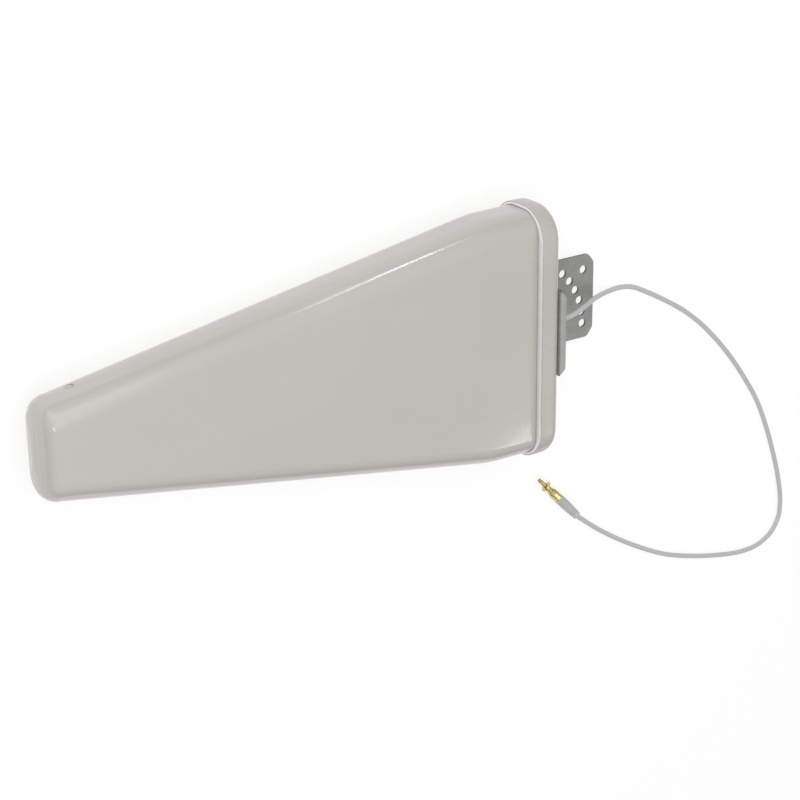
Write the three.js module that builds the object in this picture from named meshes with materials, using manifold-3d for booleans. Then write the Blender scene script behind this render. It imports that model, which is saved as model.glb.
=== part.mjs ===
// Enclosed log-periodic antenna: a tapered plastic radome with a rear cap, a sheet-steel mounting
// bracket and a coaxial pigtail, and inside it two booms that carry eleven dipoles.
//
// Row frame: millimetres, +Z up, lying on its broad side. X runs from the nose to the bracket, Y is
// the width, and the origin is under the middle of the antenna on the surface that it lies on.
// The antenna itself is drawn about its own centre: X = 0 on the cap's back face, Z = 0 on the boom
// plane. The cable and its plug lie on the surface, so they are drawn in the row frame.

import * as THREE from 'three';
import { mergeVertices } from 'three/addons/utils/BufferGeometryUtils.js';
import Module from 'manifold-3d';

const wasm = await Module();
wasm.setup();

// ---------------------------------------------------------------- driving dimensions
const GAP = 0.3;                  // clearance between neighbouring pieces
const OVER = 1;                   // how far a cutting tool runs past the face that it cuts
const ARC_STEP = 15;              // degrees between two sections of a rounded edge

const ANTENNA_LENGTH = 440;       // nose to the cap's back face
const CAP = { width: 210, thick: 64, depth: 18.2, corner: 27, rounding: 7.6, frontEdge: 0.4, wall: 4.5 };
const RADOME = {
  wall: 2.5,
  rearX: -5,                      // rear end, inside the cap
  kinkX: -56.6,                   // where the straight rear part ends and the taper starts
  rear: { width: 203.3, thick: 50.3, corner: 18 },
  nose: { width: 80, thick: 40.5, corner: 20.2 },
  noseRounding: 14.2,
  noseCrown: 1,                   // how far the end face bulges past the rounding
};
const SEAL = { depth: 3, lip: 1.4, proud: 0.3, bead: 0.5 };
const DRAIN = { x: -408.4, radius: 3.4, depth: 5, recess: 0.6, dome: 0.75 };

const BRACKET = {
  sheet: 2,
  width: 63,                      // across the two flanges
  height: 72,
  centreY: 1.8,
  reach: 81,                      // the long flange's edge, from the cap's back face
  lip: 5.4,                       // the short flange's edge
  bend: 2.6,                      // outer bend radius
  chamfer: { x: 6, y: 7.4 },
  lipChamfer: 6,
};
const TILT = { x: 8.3, y: -21.5, radius: 62, step: 9.8, count: 6, hole: 3.5 };
const SCREW = {
  dy: 24, dz: 14,                 // from the bracket's centre
  shank: 2, head: 4.2, headHeight: 2.6, length: 17, clearance: 2.7,
  slot: { half: 1.9, width: 1, depth: 1.3 },
};
const WASHER = { radius: 5, thick: 1 };

const CABLE_RADIUS = 2.1;
const RELIEF = {
  neck: 4.6, flange: 6.6, flangeThick: 3,
  outer: 6, shoulder: 2.4, waist: 4.9, tip: 3.1,
  end: 26,                        // its tip, where the cable comes out
};

const BOOM = { side: 10, wall: 1.2, offset: 7.5, rearX: -32.6, frontX: -424 };
const BLOCK = {
  rearX: -5, frontX: -45,
  plateDepth: 5, plateY: 33, plateZ: 19.5,
  bodyY: 12, bodyZ: 17,
  coaxRoom: 3.2,                  // half width of the channel from the strain relief to the lower boom
  threadDepth: 12,
};
const LOCK_SCREW = { x: -38.5, radius: 2, socket: 1, socketDepth: 1.6 };
const ROD = { radius: 2.5, count: 11, firstX: -54, firstLength: 96, scale: 0.87, slope: 0.2 };
const SPACER = { xs: [-143, -277], length: 10, web: 2.2, cheek: 2, cheekZ: 10 };
const NOSE_SUPPORT = { x: -386.5, thick: 3, holeRadius: 9, holeY: 23 };
const FEED_COAX_RADIUS = 1.8;
const FEED = {
  thick: 0.8, width: 6, tab: 8, below: 1.6,
  screwX: BOOM.frontX + 4, hole: 1.6, screw: 1.25, screwLength: 4, head: 2.6, headHeight: 1.6,
};

const PLUG = {
  tip: [205.4, -151.6, 4.6],      // the contact end, on the plug's axis
  end: [246.9, -195.9, 4.6],      // where the cable enters the sleeve
  barrel: { length: 8.7, radius: 1.75, bore: 1.1, boreDepth: 5.4 },
  insulator: { start: 1.2, end: 5.1, radius: 0.8, hole: 0.55, holeEnd: 3.4 },
  pin: { start: 0.3, end: 3.1, radius: 0.22 },
  collar: { start: 9.4, end: 12.4, bore: 1.75, radius: 3.2, lugReach: 4.45, lugWidth: 2.2, edge: 0.3 },
  spigot: { start: 9, end: 15, radius: 1.45 },
  body: { neckEnd: 17.4, neck: 2.3, step: 0.9, flareEnd: 23, flare: 4.3, end: 29.1, hex: 4.69 },
  sleeve: { start: 29.4, radius: 4.1, tip: 3.75, ribs: 9, groove: 0.22, plainEnd: 4 },
};

const REACH = BRACKET.reach;
const BACK_X = (ANTENNA_LENGTH - REACH) / 2;   // the cap's back face in the row frame
const MID_Z = CAP.thick / 2;

// The cable's route in the row frame, by hand: straight out of the strain relief, down over the
// bracket's long flange, and round a wide loop on the surface to the plug.
const ROUTE = [
  [205.8, 0, 32], [212, 0.2, 31.9], [221, 1.6, 30.6], [233, 3.2, 26.3], [248, 3.2, 17.6],
  [263, 1.8, 8.6], [275, 1.2, 3.7], [286, 1.6, 2.25], [295, 1, 2.2], [304, -1.3, 2.2],
  [321, -9.7, 2.2], [340, -20.6, 2.2], [358, -32, 2.2], [377, -46.8, 2.2], [396, -65, 2.2],
  [416, -87.6, 2.2], [436, -114.5, 2.2], [451, -138, 2.2], [464, -166, 2.2], [474, -193, 2.2],
  [482.5, -221, 2.2], [487, -245, 2.2], [485.5, -263, 2.2], [476.5, -276.5, 2.2],
  [461, -284, 2.2], [440, -285.2, 2.2], [408, -279.8, 2.2], [378, -272, 2.2], [350, -262.3, 2.2],
  [322, -248.2, 2.2], [294, -231.4, 2.2], [272, -216.2, 2.4], [257, -204.4, 3.5], [247.2, -196.2, 4.6],
];

// ---------------------------------------------------------------- finishes
const PLASTIC = { color: 0xc3beb8, roughness: 0.28, metalness: 0 };
const CAP_PLASTIC = { color: 0xbdb8b2, roughness: 0.35, metalness: 0 };
const SEALANT = { color: 0xc6c5c0, roughness: 0.5, metalness: 0 };
const STEEL = { color: 0x868682, roughness: 0.55, metalness: 0.8 };
const ZINC = { color: 0xa2a19d, roughness: 0.4, metalness: 0.9 };
const JACKET = { color: 0xb7b7b6, roughness: 0.6, metalness: 0 };
const GILT = { color: 0xc8b260, roughness: 0.25, metalness: 1 };
const ALUMINIUM = { color: 0xb4b6b8, roughness: 0.45, metalness: 0.9 };
const NYLON = { color: 0xe4e2da, roughness: 0.6, metalness: 0 };

// ---------------------------------------------------------------- solids
// A closed geometry as a manifold, joined at its shared points.
function solid(geometry) {
  const bare = geometry.index ? geometry.toNonIndexed() : geometry.clone();
  bare.deleteAttribute('normal');
  bare.deleteAttribute('uv');
  const merged = mergeVertices(bare, 1e-4);
  return new wasm.Manifold(new wasm.Mesh({
    numProp: 3,
    vertProperties: new Float32Array(merged.attributes.position.array),
    triVerts: new Uint32Array(merged.index.array),
  }));
}

function geometryOf(manifold) {
  const mesh = manifold.getMesh();
  const geometry = new THREE.BufferGeometry();
  geometry.setAttribute('position', new THREE.BufferAttribute(mesh.vertProperties, 3));
  geometry.setIndex(new THREE.BufferAttribute(mesh.triVerts, 1));
  return geometry;
}

// base without the tools, each a geometry that is already in place.
function cut(base, ...tools) {
  return geometryOf(tools.reduce((left, tool) => left.subtract(solid(tool)), solid(base)));
}

function join(...geometries) {
  return geometryOf(geometries.map(solid).reduce((sum, next) => sum.add(next)));
}

function box(x0, x1, y0, y1, z0, z1) {
  const geometry = new THREE.BoxGeometry(x1 - x0, y1 - y0, z1 - z0);
  return geometry.translate((x0 + x1) / 2, (y0 + y1) / 2, (z0 + z1) / 2);
}

// A cylinder from one point on an axis to another, along X, Y or Z.
function rod(axis, from, to, radius, centre, sides = 24) {
  const geometry = new THREE.CylinderGeometry(radius, radius, to - from, sides);
  if (axis === 'x') geometry.rotateZ(-Math.PI / 2);
  if (axis === 'z') geometry.rotateX(Math.PI / 2);
  const middle = (from + to) / 2;
  const [a, b] = centre;
  const place = { x: [middle, a, b], y: [a, middle, b], z: [a, b, middle] }[axis];
  return geometry.translate(...place);
}

// A turned piece: [along, radius] pairs from one end to the other, turned about the X axis.
function turned(profile, sides = 24) {
  const points = profile.map(([along, radius]) => new THREE.Vector2(radius, along));
  const geometry = new THREE.LatheGeometry(points, sides);
  return geometry.rotateZ(-Math.PI / 2);
}

// The outline of a rounded rectangle in the YZ plane, the same number of points for every size.
function roundedOutline({ width, thick, corner }, inset = 0) {
  const halfY = width / 2 - inset;
  const halfZ = thick / 2 - inset;
  const radius = Math.max(0.4, Math.min(corner - inset, halfY - 0.01, halfZ - 0.01));
  const steps = 7;
  const points = [];
  [[1, 1], [-1, 1], [-1, -1], [1, -1]].forEach(([sideY, sideZ], quarter) => {
    for (let i = 0; i <= steps; i++) {
      const angle = (quarter + i / steps) * (Math.PI / 2);
      points.push([
        sideY * (halfY - radius) + radius * Math.cos(angle),
        sideZ * (halfZ - radius) + radius * Math.sin(angle),
      ]);
    }
  });
  return points;
}

// A closed skin over outlines, each { x, outline }, in order of falling x.
function loft(sections) {
  const positions = [];
  const count = sections[0].outline.length;
  const at = ({ x, outline }, i) => [x, ...outline[i % count]];
  const triangle = (a, b, c) => positions.push(...a, ...b, ...c);
  sections.slice(1).forEach((next, k) => {
    const last = sections[k];
    for (let i = 0; i < count; i++) {
      triangle(at(last, i), at(next, i + 1), at(last, i + 1));
      triangle(at(last, i), at(next, i), at(next, i + 1));
    }
  });
  const first = sections[0];
  const end = sections[sections.length - 1];
  for (let i = 0; i < count; i++) {
    triangle([first.x, 0, 0], at(first, i), at(first, i + 1));
    triangle([end.x, 0, 0], at(end, i + 1), at(end, i));
  }
  const geometry = new THREE.BufferGeometry();
  geometry.setAttribute('position', new THREE.Float32BufferAttribute(positions, 3));
  return geometry;
}

const prism = (section, x0, x1, inset = 0) => loft([
  { x: x0, outline: roundedOutline(section, inset) },
  { x: x1, outline: roundedOutline(section, inset) },
]);

// ---------------------------------------------------------------- scene graph
const antenna = new THREE.Group();
antenna.position.set(BACK_X, 0, MID_Z);
const pigtail = new THREE.Group();
const root = new THREE.Group();
root.add(antenna, pigtail);

function addPiece(parent, name, geometry, finish) {
  const piece = new THREE.Mesh(geometry, new THREE.MeshStandardMaterial(finish));
  piece.name = name;
  parent.add(piece);
  return piece;
}

// ---------------------------------------------------------------- radome, cap and seal
const noseStart = -ANTENNA_LENGTH + RADOME.noseCrown + RADOME.noseRounding;
const taper = (x) => (RADOME.kinkX - x) / (RADOME.kinkX - noseStart);

// The radome's section at x, on the straight rear part or on the taper.
function radomeSection(x) {
  const t = Math.max(0, taper(x));
  const mix = (key) => THREE.MathUtils.lerp(RADOME.rear[key], RADOME.nose[key], t);
  return { width: mix('width'), thick: mix('thick'), corner: mix('corner') };
}

// The radome's outer skin, or with an inset the inner one, closed from rearX to the nose.
function radomeSkin(rearX, inset) {
  const sections = [rearX, RADOME.kinkX, noseStart].map((x) => ({
    x, outline: roundedOutline(radomeSection(x), inset),
  }));
  const nose = radomeSection(noseStart);
  const radius = RADOME.noseRounding - inset;
  for (let angle = ARC_STEP; angle <= 90; angle += ARC_STEP) {
    const turn = THREE.MathUtils.degToRad(angle);
    sections.push({
      x: noseStart - radius * Math.sin(turn),
      outline: roundedOutline(nose, inset + radius * (1 - Math.cos(turn))),
    });
  }
  // The end face is slightly crowned, so that it isn't a flat wall.
  const faceX = noseStart - radius;
  const face = roundedOutline(nose, inset + radius);
  for (const share of [0.75, 0.45, 0.15]) {
    sections.push({
      x: faceX - RADOME.noseCrown * (1 - share * share),
      outline: face.map(([y, z]) => [y * share, z * share]),
    });
  }
  return loft(sections);
}

function drainAxis(radius, from, to) {
  return rod('y', from, to, radius, [DRAIN.x, 0], 20);
}

const drainY = radomeSection(DRAIN.x).width / 2;
addPiece(antenna, 'radome_shell', cut(
  radomeSkin(RADOME.rearX, 0),
  radomeSkin(RADOME.rearX + OVER, RADOME.wall),
  drainAxis(DRAIN.radius + GAP, drainY - 2 * DRAIN.depth, drainY + DRAIN.depth),
), PLASTIC);

const drainFace = drainY - DRAIN.recess;
addPiece(antenna, 'drain_plug', join(
  drainAxis(DRAIN.radius, drainY - DRAIN.depth, drainFace),
  new THREE.SphereGeometry(1, 20, 12).scale(DRAIN.radius, DRAIN.dome, DRAIN.radius)
    .translate(DRAIN.x, drainFace, 0),
), CAP_PLASTIC);

// The step inside the cap's front edge that the seal sits in.
const rebate = {
  width: CAP.width - 2 * SEAL.lip, thick: CAP.thick - 2 * SEAL.lip, corner: CAP.corner - SEAL.lip,
};

function screwPlaces() {
  const places = [];
  for (const sideY of [1, -1]) {
    for (const sideZ of [1, -1]) {
      places.push([BRACKET.centreY + sideY * SCREW.dy, sideZ * SCREW.dz]);
    }
  }
  return places;
}

function capOutside() {
  const sections = [
    { x: -CAP.rounding, outline: roundedOutline(CAP) },
    { x: -CAP.depth + CAP.frontEdge, outline: roundedOutline(CAP) },
    { x: -CAP.depth, outline: roundedOutline(CAP, CAP.frontEdge) },
  ];
  for (let angle = ARC_STEP; angle <= 90; angle += ARC_STEP) {
    const turn = THREE.MathUtils.degToRad(angle);
    sections.unshift({
      x: -CAP.rounding * (1 - Math.sin(turn)),
      outline: roundedOutline(CAP, CAP.rounding * (1 - Math.cos(turn))),
    });
  }
  return loft(sections);
}

addPiece(antenna, 'rear_cap', cut(
  capOutside(),
  prism(RADOME.rear, -CAP.wall, -CAP.depth - OVER, -GAP),
  prism(rebate, -CAP.depth + SEAL.depth, -CAP.depth - OVER),
  rod('x', -CAP.wall - OVER, OVER, RELIEF.neck + GAP, [0, 0]),
  ...screwPlaces().map((place) => rod('x', -CAP.wall - OVER, OVER, SCREW.clearance, place, 16)),
), CAP_PLASTIC);

addPiece(antenna, 'cap_seal', cut(
  loft([
    { x: -CAP.depth + SEAL.depth - GAP, outline: roundedOutline(rebate, GAP) },
    { x: -CAP.depth - SEAL.proud + SEAL.bead, outline: roundedOutline(rebate, GAP) },
    { x: -CAP.depth - SEAL.proud, outline: roundedOutline(rebate, GAP + SEAL.bead) },
  ]),
  prism(RADOME.rear, 0, -CAP.depth - SEAL.proud - OVER, -GAP),
), SEALANT);

// ---------------------------------------------------------------- mounting bracket
// The channel's profile in the XZ plane: short lip on top, base on the cap, long flange below.
function channelProfile() {
  const { sheet, width, reach, lip, bend } = BRACKET;
  const half = width / 2;
  const inner = Math.max(bend - sheet, 0.4);
  const start = GAP;
  const shape = new THREE.Shape();
  shape.moveTo(lip, half);
  shape.lineTo(start + bend, half);
  shape.absarc(start + bend, half - bend, bend, Math.PI / 2, Math.PI, false);
  shape.lineTo(start, -half + bend);
  shape.absarc(start + bend, -half + bend, bend, Math.PI, Math.PI * 1.5, false);
  shape.lineTo(reach, -half);
  shape.lineTo(reach, -half + sheet);
  shape.lineTo(start + sheet + inner, -half + sheet);
  shape.absarc(start + sheet + inner, -half + sheet + inner, inner, Math.PI * 1.5, Math.PI, true);
  shape.lineTo(start + sheet, half - sheet - inner);
  shape.absarc(start + sheet + inner, half - sheet - inner, inner, Math.PI, Math.PI / 2, true);
  shape.lineTo(lip, half - sheet);
  return shape;
}

// A triangular bar along Z that takes a corner off a flange.
function cornerBar(x, y, sizeX, sizeY, side, z0, z1) {
  const corner = new THREE.Shape();
  corner.moveTo(x + OVER, y + side * OVER);
  corner.lineTo(x - sizeX - (OVER * sizeX) / sizeY, y + side * OVER);
  corner.lineTo(x + OVER, y - side * (sizeY + (OVER * sizeY) / sizeX));
  const bar = new THREE.ExtrudeGeometry(corner, { depth: z1 - z0, bevelEnabled: false });
  return bar.translate(0, 0, z0);
}

function tiltHoles() {
  const places = [[TILT.x, TILT.y]];
  for (let i = 0; i < TILT.count; i++) {
    const turn = THREE.MathUtils.degToRad(i * TILT.step);
    places.push([TILT.x + TILT.radius * Math.cos(turn), TILT.y + TILT.radius * Math.sin(turn)]);
  }
  places.push([TILT.x + TILT.radius, 2 * BRACKET.centreY - TILT.y]);
  return places;
}

function mountingBracket() {
  const { height, centreY, width, sheet, reach, lip, chamfer, lipChamfer } = BRACKET;
  const channel = new THREE.ExtrudeGeometry(channelProfile(), {
    depth: height, bevelEnabled: false, curveSegments: 5,
  });
  channel.rotateX(Math.PI / 2).translate(0, centreY + height / 2, 0);
  const flange = [-width / 2 - OVER, -width / 2 + sheet + OVER];
  const shortFlange = [width / 2 - sheet - OVER, width / 2 + OVER];
  const corners = [1, -1].flatMap((side) => {
    const y = centreY + (side * height) / 2;
    return [
      cornerBar(reach, y, chamfer.x, chamfer.y, side, ...flange),
      cornerBar(lip, y, lip, lipChamfer, side, ...shortFlange),
    ];
  });
  const holes = tiltHoles().map((place) => rod('z', flange[0], flange[1], TILT.hole, place, 20));
  const base = [GAP - OVER, GAP + sheet + OVER];
  const screwHoles = screwPlaces().map((place) => rod('x', ...base, SCREW.clearance, place, 16));
  const cableHole = rod('x', ...base, RELIEF.neck + GAP, [0, 0]);
  return cut(channel, ...corners, ...holes, ...screwHoles, cableHole);
}

addPiece(antenna, 'mounting_bracket', mountingBracket(), STEEL);

const washerX = GAP + BRACKET.sheet + GAP;
const headX = washerX + WASHER.thick + GAP;

function screwShape() {
  const { shank, head, headHeight, length, slot } = SCREW;
  const point = headX - length;
  const top = headX + headHeight;
  const body = turned([
    [point, 0], [point, shank * 0.75], [point + shank * 0.3, shank],
    [headX, shank], [headX, head], [headX + headHeight * 0.6, head],
    [top, head * 0.62], [top, 0],
  ], 16);
  const across = (halfY, halfZ) => box(top - slot.depth, top + OVER, -halfY, halfY, -halfZ, halfZ);
  return cut(body, across(slot.half, slot.width / 2), across(slot.width / 2, slot.half));
}

screwPlaces().forEach(([y, z], i) => {
  const washer = cut(
    rod('x', washerX, washerX + WASHER.thick, WASHER.radius, [0, 0], 20),
    rod('x', washerX - OVER, washerX + WASHER.thick + OVER, SCREW.shank + GAP, [0, 0], 16),
  );
  addPiece(antenna, `bracket_washer_${i + 1}`, washer, ZINC).position.set(0, y, z);
  addPiece(antenna, `bracket_screw_${i + 1}`, screwShape(), ZINC).position.set(0, y, z);
});

// ---------------------------------------------------------------- strain relief
// It is clamped between its inner flange, behind the cap's wall, and its shoulder on the bracket.
const reliefFlange = -CAP.wall - GAP;
const reliefInner = reliefFlange - RELIEF.flangeThick;
const reliefShoulder = GAP + BRACKET.sheet + GAP;
addPiece(antenna, 'cable_strain_relief', turned([
  [reliefInner, 0], [reliefInner, RELIEF.flange], [reliefFlange, RELIEF.flange],
  [reliefFlange, RELIEF.neck], [reliefShoulder, RELIEF.neck], [reliefShoulder, RELIEF.outer],
  [reliefShoulder + RELIEF.shoulder, RELIEF.outer], [reliefShoulder + 4, RELIEF.waist],
  [RELIEF.end - 0.4, RELIEF.tip], [RELIEF.end, RELIEF.tip - 0.4], [RELIEF.end, 0],
]), JACKET);

// ---------------------------------------------------------------- booms and their fixings
const boomSides = [{ name: 'upper', sign: 1 }, { name: 'lower', sign: -1 }];

for (const { name, sign } of boomSides) {
  const z = sign * BOOM.offset;
  const half = BOOM.side / 2;
  const bore = half - BOOM.wall;
  const tools = [box(BOOM.frontX - OVER, BOOM.rearX + OVER, -bore, bore, z - bore, z + bore)];
  if (sign > 0) tools.push(rod('z', z, z + BOOM.side, FEED.hole, [FEED.screwX, 0], 12));
  addPiece(antenna, `${name}_boom`, cut(
    box(BOOM.frontX, BOOM.rearX, -half, half, z - half, z + half), ...tools,
  ), ALUMINIUM);
}

function mountingBlock() {
  const { rearX, frontX, plateDepth, plateY, plateZ, bodyY, bodyZ, coaxRoom, threadDepth } = BLOCK;
  const block = join(
    box(rearX - plateDepth, rearX, -plateY, plateY, -plateZ, plateZ),
    box(frontX, rearX - OVER, -bodyY, bodyY, -bodyZ, bodyZ),
  );
  const socket = BOOM.side / 2 + GAP;
  const sockets = boomSides.map(({ sign }) => box(
    frontX - OVER, BOOM.rearX + GAP, -socket, socket,
    sign * BOOM.offset - socket, sign * BOOM.offset + socket,
  ));
  const channel = box(
    BOOM.rearX - OVER, rearX + OVER, -coaxRoom, coaxRoom, -BOOM.offset - coaxRoom, coaxRoom,
  );
  const reliefRoom = rod('x', reliefInner - GAP, rearX + OVER, RELIEF.flange + GAP, [0, 0]);
  const threads = screwPlaces().map((place) => (
    rod('x', rearX - threadDepth, rearX + OVER, SCREW.shank + GAP, place, 16)
  ));
  const locks = boomSides.map(({ sign }) => (
    rod('y', 0, bodyY + OVER, LOCK_SCREW.radius + GAP, [LOCK_SCREW.x, sign * BOOM.offset], 16)
  ));
  return cut(block, ...sockets, channel, reliefRoom, ...threads, ...locks);
}

addPiece(antenna, 'mounting_block', mountingBlock(), ALUMINIUM);

for (const { name, sign } of boomSides) {
  const start = BOOM.side / 2 + GAP;
  const end = BLOCK.bodyY - GAP;
  const place = [LOCK_SCREW.x, sign * BOOM.offset];
  addPiece(antenna, `boom_lock_screw_${name}`, cut(
    rod('y', start, end, LOCK_SCREW.radius, place, 16),
    rod('y', end - LOCK_SCREW.socketDepth, end + OVER, LOCK_SCREW.socket, place, 6),
  ), ZINC);
}

// Each spacer is an H that keeps the booms apart and in line.
SPACER.xs.forEach((x, i) => {
  const inside = BOOM.side / 2 + GAP;
  const outside = inside + SPACER.cheek;
  const slab = (y0, y1, halfZ) => box(x - SPACER.length / 2, x + SPACER.length / 2, y0, y1, -halfZ, halfZ);
  addPiece(antenna, `boom_spacer_${i + 1}`, join(
    slab(-outside, outside, SPACER.web),
    slab(inside, outside, SPACER.cheekZ),
    slab(-outside, -inside, SPACER.cheekZ),
  ), NYLON);
});

function noseSupport() {
  const { x, thick, holeRadius, holeY } = NOSE_SUPPORT;
  const boomRoom = BOOM.side / 2 + GAP;
  const through = [x - thick - OVER, x + OVER];
  const boomHoles = boomSides.map(({ sign }) => box(
    ...through, -boomRoom, boomRoom, sign * BOOM.offset - boomRoom, sign * BOOM.offset + boomRoom,
  ));
  const sideHoles = [1, -1].map((side) => rod('x', ...through, holeRadius, [side * holeY, 0]));
  const plate = prism(radomeSection(x - thick), x, x - thick, RADOME.wall + GAP);
  return cut(plate, ...boomHoles, ...sideHoles);
}

addPiece(antenna, 'nose_support', noseSupport(), NYLON);

// ---------------------------------------------------------------- dipoles
// Lengths and spacings shrink by one ratio, and each dipole's halves swap booms with the next one's.
for (let i = 0; i < ROD.count; i++) {
  const share = ROD.scale ** i;
  const length = ROD.firstLength * share;
  const x = ROD.firstX - (ROD.firstLength / ROD.slope) * (1 - share);
  for (const { name, sign } of boomSides) {
    const side = sign * (i % 2 ? -1 : 1);
    const start = BOOM.side / 2 + GAP;
    const half = rod('y', start, length, ROD.radius, [0, 0], 10);
    if (side < 0) half.rotateZ(Math.PI);
    const number = String(i + 1).padStart(2, '0');
    const piece = addPiece(antenna, `dipole_${number}_${name}`, half, ALUMINIUM);
    piece.position.set(x, 0, sign * BOOM.offset);
  }
}

// ---------------------------------------------------------------- feed
function tube(points, radius, sides, steps) {
  const places = points.map((point) => new THREE.Vector3(...point));
  const curve = new THREE.CatmullRomCurve3(places, false, 'centripetal');
  const outline = new THREE.Shape();
  for (let i = 0; i < sides; i++) {
    const turn = (i / sides) * Math.PI * 2;
    const corner = [radius * Math.cos(turn), radius * Math.sin(turn)];
    if (i) outline.lineTo(...corner);
    else outline.moveTo(...corner);
  }
  return new THREE.ExtrudeGeometry(outline, { steps, bevelEnabled: false, extrudePath: curve });
}

// It drops from the strain relief into the lower boom and runs inside it to the front.
const coaxStart = reliefInner - GAP;
const coaxEnd = BOOM.frontX + 2;
addPiece(antenna, 'feed_coax', tube([
  [coaxStart, 0, 0], [coaxStart - 3, 0, -0.3], [coaxStart - 12, 0, -BOOM.offset / 2],
  [coaxStart - 21, 0, -BOOM.offset + 0.3], [BOOM.rearX - 4, 0, -BOOM.offset],
  [BOOM.rearX - 60, 0, -BOOM.offset], [(BOOM.rearX + coaxEnd) / 2, 0, -BOOM.offset],
  [coaxEnd + 30, 0, -BOOM.offset], [coaxEnd, 0, -BOOM.offset],
], FEED_COAX_RADIUS, 8, 60), JACKET);

// The link from the coax's inner wire, in front of the lower boom, to the top of the upper one.
function feedLink() {
  const front = BOOM.frontX - GAP;
  const top = BOOM.offset + BOOM.side / 2 + GAP;
  const half = FEED.width / 2;
  const strap = join(
    box(front - FEED.thick, front, -half, half, -BOOM.offset - FEED.below, top + FEED.thick),
    box(front - FEED.thick, BOOM.frontX + FEED.tab, -half, half, top, top + FEED.thick),
  );
  return cut(strap, rod('z', top - OVER, top + FEED.thick + OVER, FEED.hole, [FEED.screwX, 0], 12));
}

addPiece(antenna, 'feed_link', feedLink(), GILT);

function feedScrew() {
  const seat = BOOM.offset + BOOM.side / 2 + FEED.thick + 2 * GAP;
  const top = seat + FEED.headHeight;
  const place = [FEED.screwX, 0];
  const screw = join(
    rod('z', seat, top, FEED.head, place, 14),
    rod('z', seat - FEED.screwLength, seat + FEED.headHeight / 2, FEED.screw, place, 12),
  );
  const slot = box(
    FEED.screwX - FEED.head - OVER, FEED.screwX + FEED.head + OVER, -GAP, GAP, top - 0.6, top + OVER,
  );
  return cut(screw, slot);
}

addPiece(antenna, 'feed_screw', feedScrew(), ZINC);

// ---------------------------------------------------------------- pigtail and plug
addPiece(pigtail, 'coax_cable', tube(ROUTE, CABLE_RADIUS, 10, 80), JACKET);

// The plug is drawn along X from its contact end, then laid on its axis.
const tip = new THREE.Vector3(...PLUG.tip);
const plugLength = tip.distanceTo(new THREE.Vector3(...PLUG.end));
const plug = new THREE.Group();
plug.position.copy(tip);
plug.rotation.z = Math.atan2(PLUG.end[1] - PLUG.tip[1], PLUG.end[0] - PLUG.tip[0]);
pigtail.add(plug);

const { barrel, insulator, pin, collar, spigot, body, sleeve } = PLUG;
const sleeveEnd = plugLength - GAP;
const ribSpan = (sleeveEnd - sleeve.start - sleeve.plainEnd) / sleeve.ribs;
const sleeveTurns = [[sleeve.start, 0], [sleeve.start, sleeve.radius]];
for (let i = 1; i <= sleeve.ribs; i++) {
  const along = sleeve.start + i * ribSpan;
  const radius = THREE.MathUtils.lerp(sleeve.radius, sleeve.tip, i / sleeve.ribs);
  sleeveTurns.push([along - ribSpan / 2, radius - sleeve.groove], [along, radius]);
}
addPiece(plug, 'cable_sleeve', turned([
  ...sleeveTurns, [sleeveEnd - 0.8, sleeve.tip], [sleeveEnd, sleeve.tip - 0.8], [sleeveEnd, 0],
], 20), JACKET);

// The body flares from its neck to a ring with six flats. Its front spigot carries the collar.
function connectorBody() {
  const neckStart = collar.end + GAP;
  const flared = turned([
    [neckStart, 0], [neckStart, body.neck + 0.5], [body.neckEnd, body.neck],
    [body.neckEnd + GAP, body.neck + body.step], [body.flareEnd, body.flare],
    [body.end - 0.6, body.flare], [body.end, body.flare - 0.5], [body.end, 0],
  ]);
  const hexBar = rod('x', collar.end, body.end + OVER, body.hex, [0, 0], 6);
  const front = rod('x', spigot.start, spigot.end, spigot.radius, [0, 0]);
  return geometryOf(solid(flared).intersect(solid(hexBar)).add(solid(front)));
}

addPiece(plug, 'connector_body', connectorBody(), GILT);

function couplingCollar() {
  const { start, end, bore, radius, lugReach, lugWidth, edge } = collar;
  const ring = turned([
    [start, bore], [start, radius - edge], [start + edge, radius],
    [end - edge, radius], [end, radius - edge], [end, bore], [start, bore],
  ]);
  const half = lugWidth / 2;
  const root = (bore + radius) / 2;
  const lug = (near, far) => box(start + edge, end - edge, near, far, -half, half);
  return join(ring, lug(root, lugReach), lug(-lugReach, -root));
}

addPiece(plug, 'coupling_collar', couplingCollar(), GILT);

addPiece(plug, 'contact_barrel', cut(
  turned([
    [0, 0], [0, barrel.radius - 0.35], [0.4, barrel.radius],
    [barrel.length, barrel.radius], [barrel.length, 0],
  ]),
  rod('x', -OVER, barrel.boreDepth, barrel.bore, [0, 0], 16),
), GILT);

addPiece(plug, 'contact_insulator', cut(
  rod('x', insulator.start, insulator.end, insulator.radius, [0, 0], 12),
  rod('x', insulator.start - OVER, insulator.holeEnd, insulator.hole, [0, 0], 10),
), NYLON);

addPiece(plug, 'centre_pin', turned([
  [pin.start, 0], [pin.start + 0.2, pin.radius], [pin.end, pin.radius], [pin.end, 0],
], 8), GILT);

export default root;
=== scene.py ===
# The looks of an enclosed log-periodic antenna: a glossy tapered radome with a rear cap, a galvanised
# mounting bracket and a grey coaxial pigtail, and the dipole array inside it.
# Blender objects are in metres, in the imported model's frame. Shapes are drawn in millimetres about
# the antenna's own centre (x = 0 on the cap's back face, z = 0 on the boom plane) and then placed.

import math

import bmesh
import bpy
from mathutils import Matrix, Vector


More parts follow.
